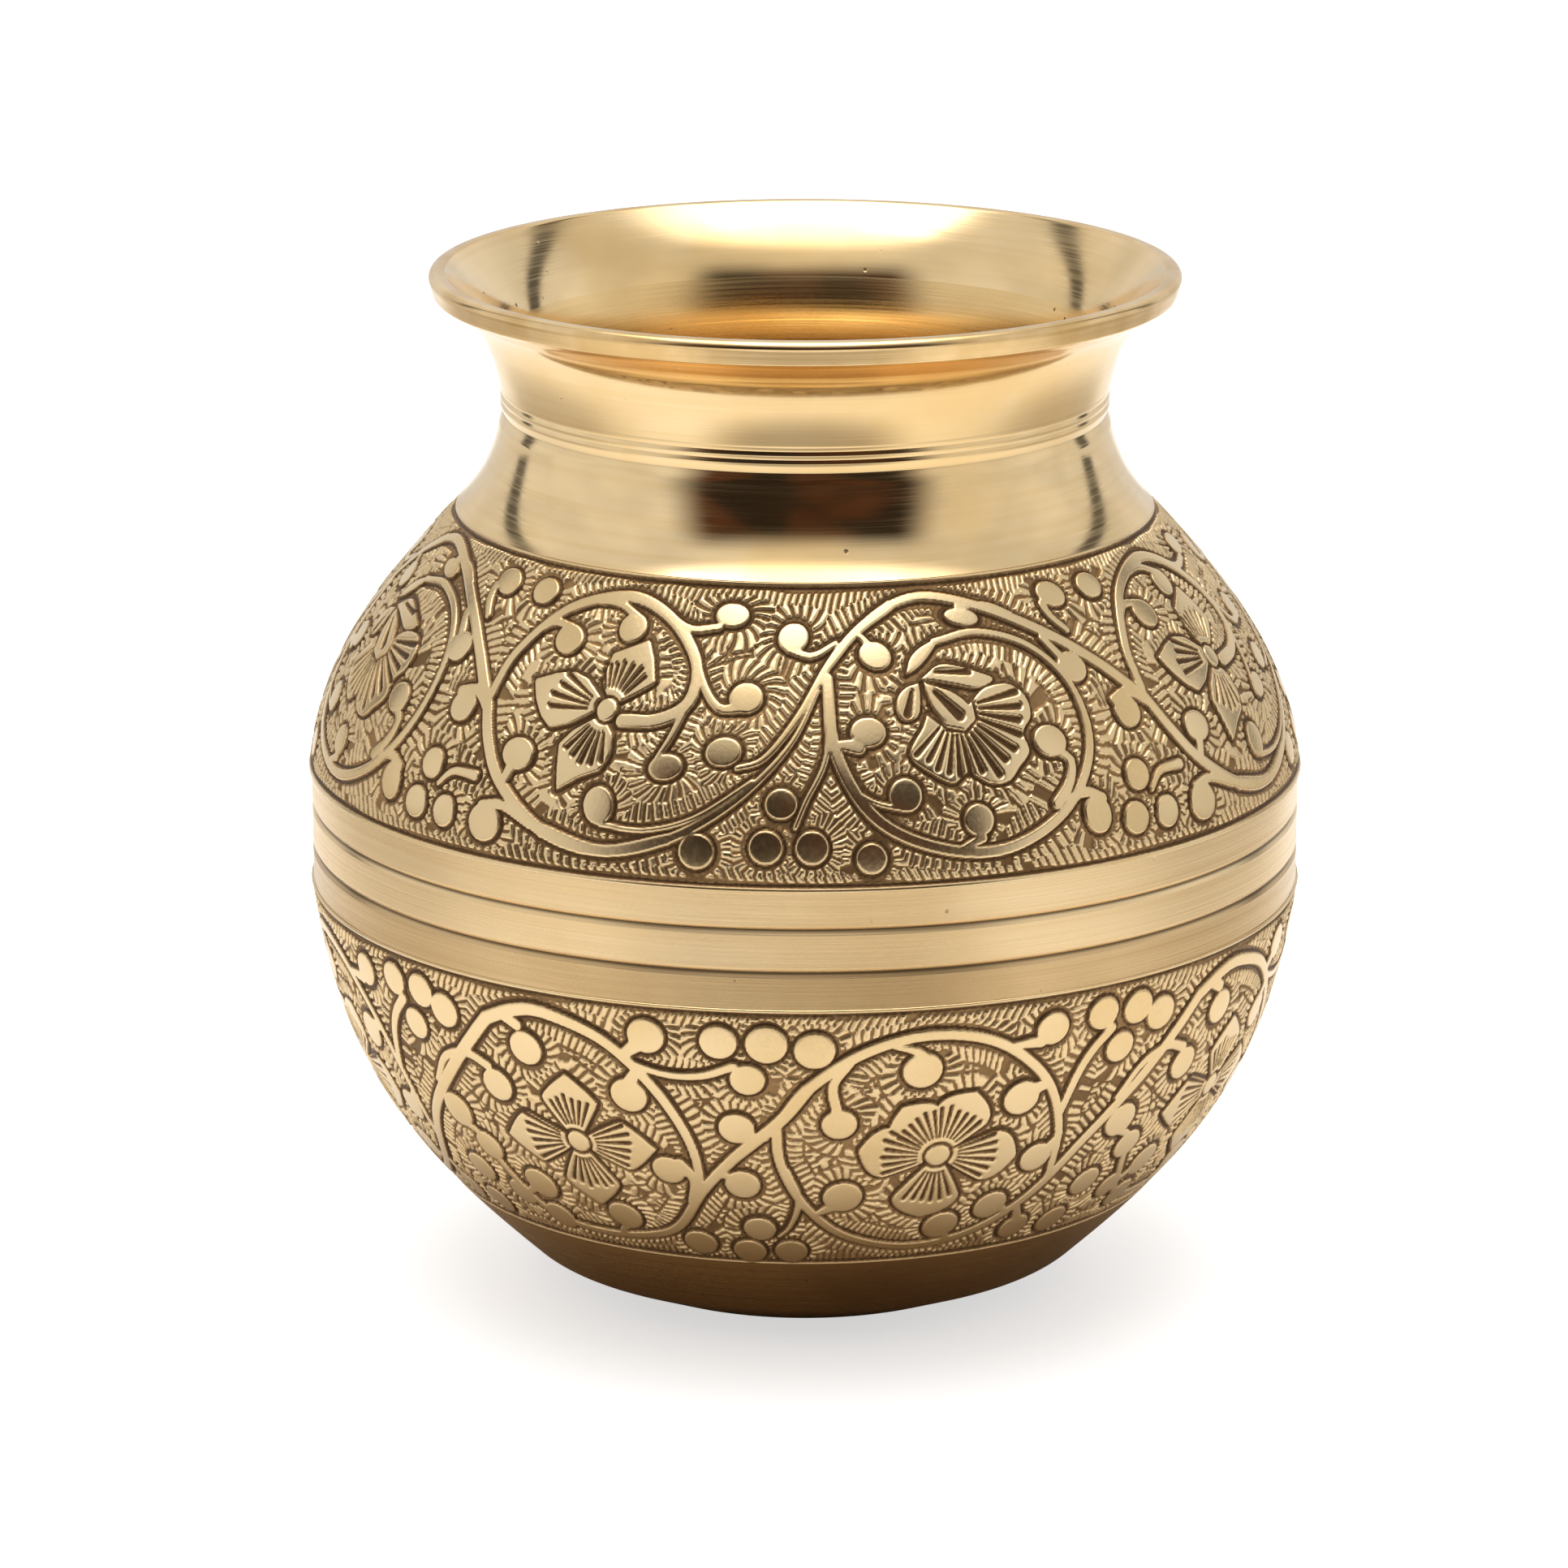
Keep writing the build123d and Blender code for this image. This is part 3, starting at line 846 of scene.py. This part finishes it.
def feed(shade, shader, **values):
    """Join values to the shader's inputs of the same name."""
    for key, value in values.items():
        shade.tree.links.new(value, shader.inputs[key.replace("_", " ")])


def turned_brass(name, light, dark, patch, rough, lines, dirt=0.35):
    """Brass with lathe lines: two tones in patches, a roughness range, and the lines' depth."""
    made, shade, shader = new_material(name, Metallic=1.0)
    patches = shade.noise(shade.place(), patch, 4.0)
    grain = shade.turned_noise(5.0, 30.0)
    streaks = shade.turned_noise(1.3, 12.0, 2.0)
    pits = shade.spots(420.0, 0.05, 0.11)
    rare = shade.remap(shade.noise(shade.place(), 90.0, 1.0), 0.60, 0.68)
    pits = shade.math("MULTIPLY", pits, rare)
    tone = shade.mix(shade.remap(patches, 0.38, 0.68), light, dark)
    tone = shade.mix(shade.remap(streaks, 0.42, 0.72, 0.0, 0.42), tone, dark)
    tone = shade.mix(shade.math("MULTIPLY", pits, dirt * 2), tone, DIRT_AND_GROOVE_SHADE)
    # Painted shade: the turned lines of the belly and the neck are darkened the deeper they lie.
    tone = shade.mix(shade.remap(shade.field("hollow"), 0.40, 1.0, 0.0, 0.80), tone, DIRT_AND_GROOVE_SHADE)
    low, high = rough
    worn = shade.math("ADD", grain, shade.math("MULTIPLY", patches, 0.6))
    roughness = shade.remap(worn, 0.55, 1.0, low, high)
    roughness = shade.math("ADD", roughness, shade.math("MULTIPLY", pits, 0.3))
    normal = shade.bump(grain, 1.0, lines)
    normal = shade.bump(shade.math("SUBTRACT", 1.0, pits), 0.6, 0.00006, normal)
    feed(shade, shader, Base_Color=tone, Roughness=roughness, Normal=normal)
    return made


def polished_brass():
    return turned_brass("mirror_brass", BRASS, BRASS_WARM, 55.0, (0.07, 0.17), 0.000002)


def lip_brass():
    light, dark = (0.90, 0.65, 0.34, 1), (0.74, 0.49, 0.21, 1)
    return turned_brass("lip_brass", light, dark, 140.0, (0.12, 0.26), 0.000004, 0.6)


def throat_brass():
    light, dark = (0.90, 0.65, 0.32, 1), (0.78, 0.52, 0.22, 1)
    return turned_brass("throat_brass", light, dark, 40.0, (0.17, 0.29), 0.0000025)


def satin_brass():
    light, dark = (0.92, 0.695, 0.405, 1), (0.82, 0.58, 0.30, 1)
    return turned_brass("satin_brass", light, dark, 30.0, (0.20, 0.30), 0.000012, 0.15)


# Painted shade: the belly's satin brass made darker, so that the bowl's rim strip looks shaded.
def shaded_bowl_rim_brass():
    light, dark = (0.72, 0.51, 0.27, 1), (0.56, 0.375, 0.18, 1)
    return turned_brass("shaded_bowl_rim_brass", light, dark, 30.0, (0.20, 0.30), 0.000014, 0.2)


# Painted shade: brass made dark and brown, so that the heel and foot look shaded.
def shaded_foot_brass():
    light, dark = (0.60, 0.38, 0.16, 1), (0.40, 0.235, 0.09, 1)
    return turned_brass("shaded_foot_brass", light, dark, 45.0, (0.24, 0.38), 0.00001, 0.4)


def dull_brass():
    return turned_brass("dull_brass", (0.50, 0.33, 0.15, 1), TARNISH, 35.0, (0.38, 0.55), 0.00002, 0.6)


def engraved_brass():
    """Bright brass on the raised work, and dark dull ground in the cuts."""
    made, shade, shader = new_material("engraved_brass_worn", Metallic=1.0)
    patches = shade.noise(shade.place(), 70.0, 4.0)
    grain = shade.noise(shade.place(), 2600.0, 2.0)
    rubbed = shade.math("ADD", shade.field("rubbed"), shade.remap(grain, 0.3, 0.7, -0.12, 0.10))
    groove = shade.mix(shade.remap(patches, 0.35, 0.65), (0.22, 0.125, 0.050, 1), (0.36, 0.215, 0.092, 1))
    groove = shade.mix(shade.remap(rubbed, -0.34, -0.02), (0.10, 0.052, 0.019, 1), groove)
    stroke = shade.mix(shade.remap(rubbed, 0.18, 0.68), groove, (0.84, 0.62, 0.345, 1))
    bright = shade.mix(shade.remap(patches, 0.35, 0.70), (0.86, 0.655, 0.375, 1), (0.76, 0.545, 0.27, 1))
    tone = shade.mix(shade.remap(rubbed, 0.78, 0.96), stroke, bright)
    roughness = shade.remap(rubbed, 0.15, 0.95, 0.46, 0.20)
    roughness = shade.math("ADD", roughness, shade.remap(grain, 0.3, 0.8, 0.0, 0.06))
    metallic = shade.remap(rubbed, 0.0, 0.6, 0.80, 1.0)
    feed(shade, shader, Base_Color=tone, Roughness=roughness, Metallic=metallic)
    feed(shade, shader, Normal=shade.bump(grain, 0.35, 0.00002))
    return made


def spelter():
    """Grey-yellow brazing metal, with a grainy cast skin."""
    made, shade, shader = new_material("cast_spelter", Metallic=1.0)
    lumps = shade.noise(shade.place(), 900.0, 4.0)
    stain = shade.noise(shade.place(), 120.0, 3.0)
    tone = shade.mix(shade.remap(stain, 0.35, 0.7), (0.72, 0.66, 0.50, 1), (0.38, 0.30, 0.18, 1))
    feed(shade, shader, Base_Color=tone, Roughness=shade.remap(lumps, 0.3, 0.7, 0.32, 0.5))
    feed(shade, shader, Normal=shade.bump(lumps, 0.7, 0.0001))
    return made


# ---------------------------------------------------------------- the pot

# Distances along an outline: one past the bowl's heel and short of its inside, and the throat's start.
PAST_HEEL = 60.0
THROAT_START = 32.0
LIP_ZONE = (LIP - 1.6, HEIGHT - 2.4)


def lower_material(r, z, along):
    """0 on the turned heel and foot, whose brass is painted dark as shade, 1 on the rim's satin strip,
    painted darker as shade, and 2 elsewhere.
    """
    if z > LOWER_TOP[1] and r > BELLY_SPIGOT[1]:
        return 1
    return 0 if z < LOWER_BAND[0] and along < PAST_HEEL else 2


def upper_material(r, z, along):
    """0 on the polished cove and in the neck's bore, 1 on the satin belly band and 2 elsewhere."""
    if r > BELLY_BORE and z < UPPER_FOOT[1]:
        return 1
    return 0 if z > UPPER_BAND[1] else 2


def collar_material(r, z, along):
    """0 on the polished neck and mouth, 1 on the scuffed lip and 2 in the throat."""
    if r > LIP_ZONE[0] and z > LIP_ZONE[1]:
        return 1
    return 0 if along < THROAT_START else 2


turned_piece(
    "lower_shell_body", lower_shell_outline(), step=0.6, columns=384, closed=False,
    materials=[shaded_foot_brass(), shaded_bowl_rim_brass(), dull_brass()], chosen=lower_material,
    node="lower_shell",
)
turned_piece(
    "upper_shell_body", upper_shell_outline(), step=0.45, columns=512, closed=True,
    materials=[polished_brass(), satin_brass(), dull_brass()], chosen=upper_material,
    node="upper_shell",
)
turned_piece(
    "neck_collar_turned", collar_outline(), step=0.3, columns=512, closed=True,
    materials=[polished_brass(), lip_brass(), throat_brass()], chosen=collar_material,
    node="neck_collar",
)
engraved = engraved_brass()
band_piece(
    "lower_engraved_band", lower_work(), lower_band_line, first_flower=-28.5, pitch=0.84, row=1.9,
    depth=0.30, seed=5, node="lower_shell", skin=engraved,
)
band_piece(
    "upper_engraved_band", upper_work(), upper_band_line, first_flower=-25.25, pitch=0.92, row=2.4,
    depth=0.34, seed=11, node="upper_shell", skin=engraved,
)

spelter_skin = spelter()
for ring in ("neck_spelter_ring", "belly_spelter_ring"):
    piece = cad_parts[ring]
    piece.data.materials.clear()
    piece.data.materials.append(spelter_skin)

# ---------------------------------------------------------------- studio


def make_floor():
    """A pale table top: made white to the camera with painted light, and given painted shade in zones for
    what the brass mirrors.
    """
    mesh = bpy.data.meshes.new("floor")
    left, right, front, back = -2.0, 2.0, -0.55, 2.5
    corners = [(left, front, 0), (right, front, 0), (right, back, 0), (left, back, 0)]
    mesh.from_pydata(corners, [], [(0, 1, 2, 3)])
    made, shade, shader = new_material("floor", Roughness=0.55)
    shader.inputs["Emission Color"].default_value = (1.0, 1.0, 1.0, 1)
    seen = shade.node("LightPath").outputs["Is Camera Ray"]
    mottle = shade.noise(shade.place(), 6.0, 2.0)
    x, y, _ = shade.node("SeparateXYZ", {0: shade.place()}).outputs
    aside = shade.math("ABSOLUTE", x)
    # Painted shadow: a dark patch on the floor just in front of the pot, seen only in the brass.
    ahead = shade.math("MULTIPLY", shade.remap(y, -0.22, -0.17), shade.remap(y, -0.145, -0.10, 1.0, 0.0))
    dim = shade.math("MULTIPLY", ahead, shade.remap(aside, 0.05, 0.14, 0.8, 0.0))
    # Painted shade: the floor the brass mirrors is light in the middle and darker towards the sides.
    lit = shade.mix(shade.remap(aside, 0.08, 0.26), (0.93, 0.915, 0.88, 1), (0.56, 0.545, 0.51, 1))
    lit = shade.mix(dim, lit, (0.16, 0.14, 0.12, 1))
    # Painted shade: dark brown zones on the floor to either side of the pot, seen only in the brass.
    level = shade.math("ABSOLUTE", shade.math("SUBTRACT", y, 0.08))
    side_shade = shade.math("MULTIPLY", shade.remap(aside, 0.13, 0.20), shade.remap(level, 0.08, 0.18, 0.6, 0.0))
    lit = shade.mix(side_shade, lit, (0.22, 0.17, 0.11, 1))
    # Painted shade with a brass-brown tint: the floor right round the pot's foot, seen only in the brass.
    away = shade.node("VectorMath", {0: shade.place()}, operation="LENGTH").outputs["Value"]
    lit = shade.mix(shade.remap(away, 0.030, 0.058, 1.0, 0.0), lit, (0.46, 0.36, 0.25, 1))
    # Painted light: the floor glows, strongly to the camera so that its shadow fades to white, and faintly
    # away from the pot in the brass.
    glow = shade.math("MULTIPLY_ADD", seen, 0.62, shade.remap(away, 0.045, 0.10, 0.0, 0.10))
    paper = shade.mix(mottle, (0.70, 0.70, 0.70, 1), (0.74, 0.74, 0.735, 1))
    feed(shade, shader, Base_Color=shade.mix(seen, lit, paper))
    feed(shade, shader, Emission_Strength=glow)
    mesh.materials.append(made)
    floor = bpy.data.objects.new("floor", mesh)
    bpy.context.scene.collection.objects.link(floor)


def make_world():
    """Plain white to the camera; to the brass, a tent open in front, with a softbox overhead."""
    world = bpy.data.worlds.new("studio")
    bpy.context.scene.world = world
    world.use_nodes = True
    world.node_tree.nodes.clear()
    shade = Shade(world.node_tree)
    view = shade.node("TexCoord").outputs["Generated"]
    x, y, z = shade.node("SeparateXYZ", {0: view}).outputs
    azimuth = shade.math("ABSOLUTE", shade.math("ARCTAN2", x, shade.math("MULTIPLY", y, -1.0)))
    azimuth = shade.math("DEGREES", azimuth)
    height = shade.math("DEGREES", shade.math("ARCSINE", z))
    wide = shade.remap(azimuth, 36.0, 56.0, 1.0, 0.0)
    tall = shade.math("MULTIPLY", shade.remap(height, -5.0, 3.0), shade.remap(height, 36.0, 52.0, 1.0, 0.0))
    opening = shade.math("MULTIPLY", wide, tall)
    seam = shade.remap(shade.math("ABSOLUTE", shade.math("SUBTRACT", azimuth, 127.0)), 2.0, 5.5, 1.0, 0.0)
    seam = shade.math("MULTIPLY", seam, shade.remap(height, 50.0, 60.0, 0.85, 0.0))
    overhead = shade.remap(height, 56.0, 73.0, 0.0, 2.1)
    folds = shade.noise(view, 2.2, 2.0)
    tent = shade.math("ADD", shade.remap(folds, 0.25, 0.75, 0.68, 0.88), overhead)
    tent = shade.math("MULTIPLY", tent, shade.math("SUBTRACT", 1.0, seam))
    things = shade.noise(view, 2.4, 1.0)
    room = shade.mix(shade.remap(things, 0.45, 0.65), (0.035, 0.027, 0.021, 1), (0.10, 0.045, 0.026, 1))
    dark = shade.mix(opening, (1.0, 1.0, 1.0, 1), room)
    light = shade.node("Background", {"Color": dark, "Strength": tent})
    plain = shade.node("Background", {"Color": (1.0, 1.0, 1.0, 1), "Strength": 1.05})
    seen = shade.node("LightPath").outputs["Is Camera Ray"]
    both = shade.node("MixShader", {0: seen, 1: light.outputs[0], 2: plain.outputs[0]})
    shade.node("OutputWorld", {"Surface": both.outputs[0]})


def make_light():
    """A large soft light above the pot, a little to the left and behind."""
    data = bpy.data.lights.new("key", "AREA")
    data.shape = "RECTANGLE"
    data.size, data.size_y = 1.2, 0.8
    data.energy = 3.0
    light = bpy.data.objects.new("key", data)
    light.location = (-0.10, 0.10, 1.5)
    light.rotation_euler = (math.radians(-4), math.radians(-4), 0)
    bpy.context.scene.collection.objects.link(light)


def make_camera():
    """At the photograph's viewing angle, a little above the pot and well back from it."""
    data = bpy.data.cameras.new("camera")
    data.sensor_width = 36.0
    data.lens = 158.03
    data.clip_start = 0.01
    camera = bpy.data.objects.new("camera", data)
    camera.location = (0.0, -0.6618, 0.23127)
    camera.rotation_euler = (math.radians(74.614), 0.0, math.radians(0.179))
    bpy.context.scene.collection.objects.link(camera)
    bpy.context.scene.camera = camera


make_floor()
make_world()
make_light()
make_camera()
bpy.context.scene.view_settings.view_transform = "Standard"

bpy.context.view_layer.update()
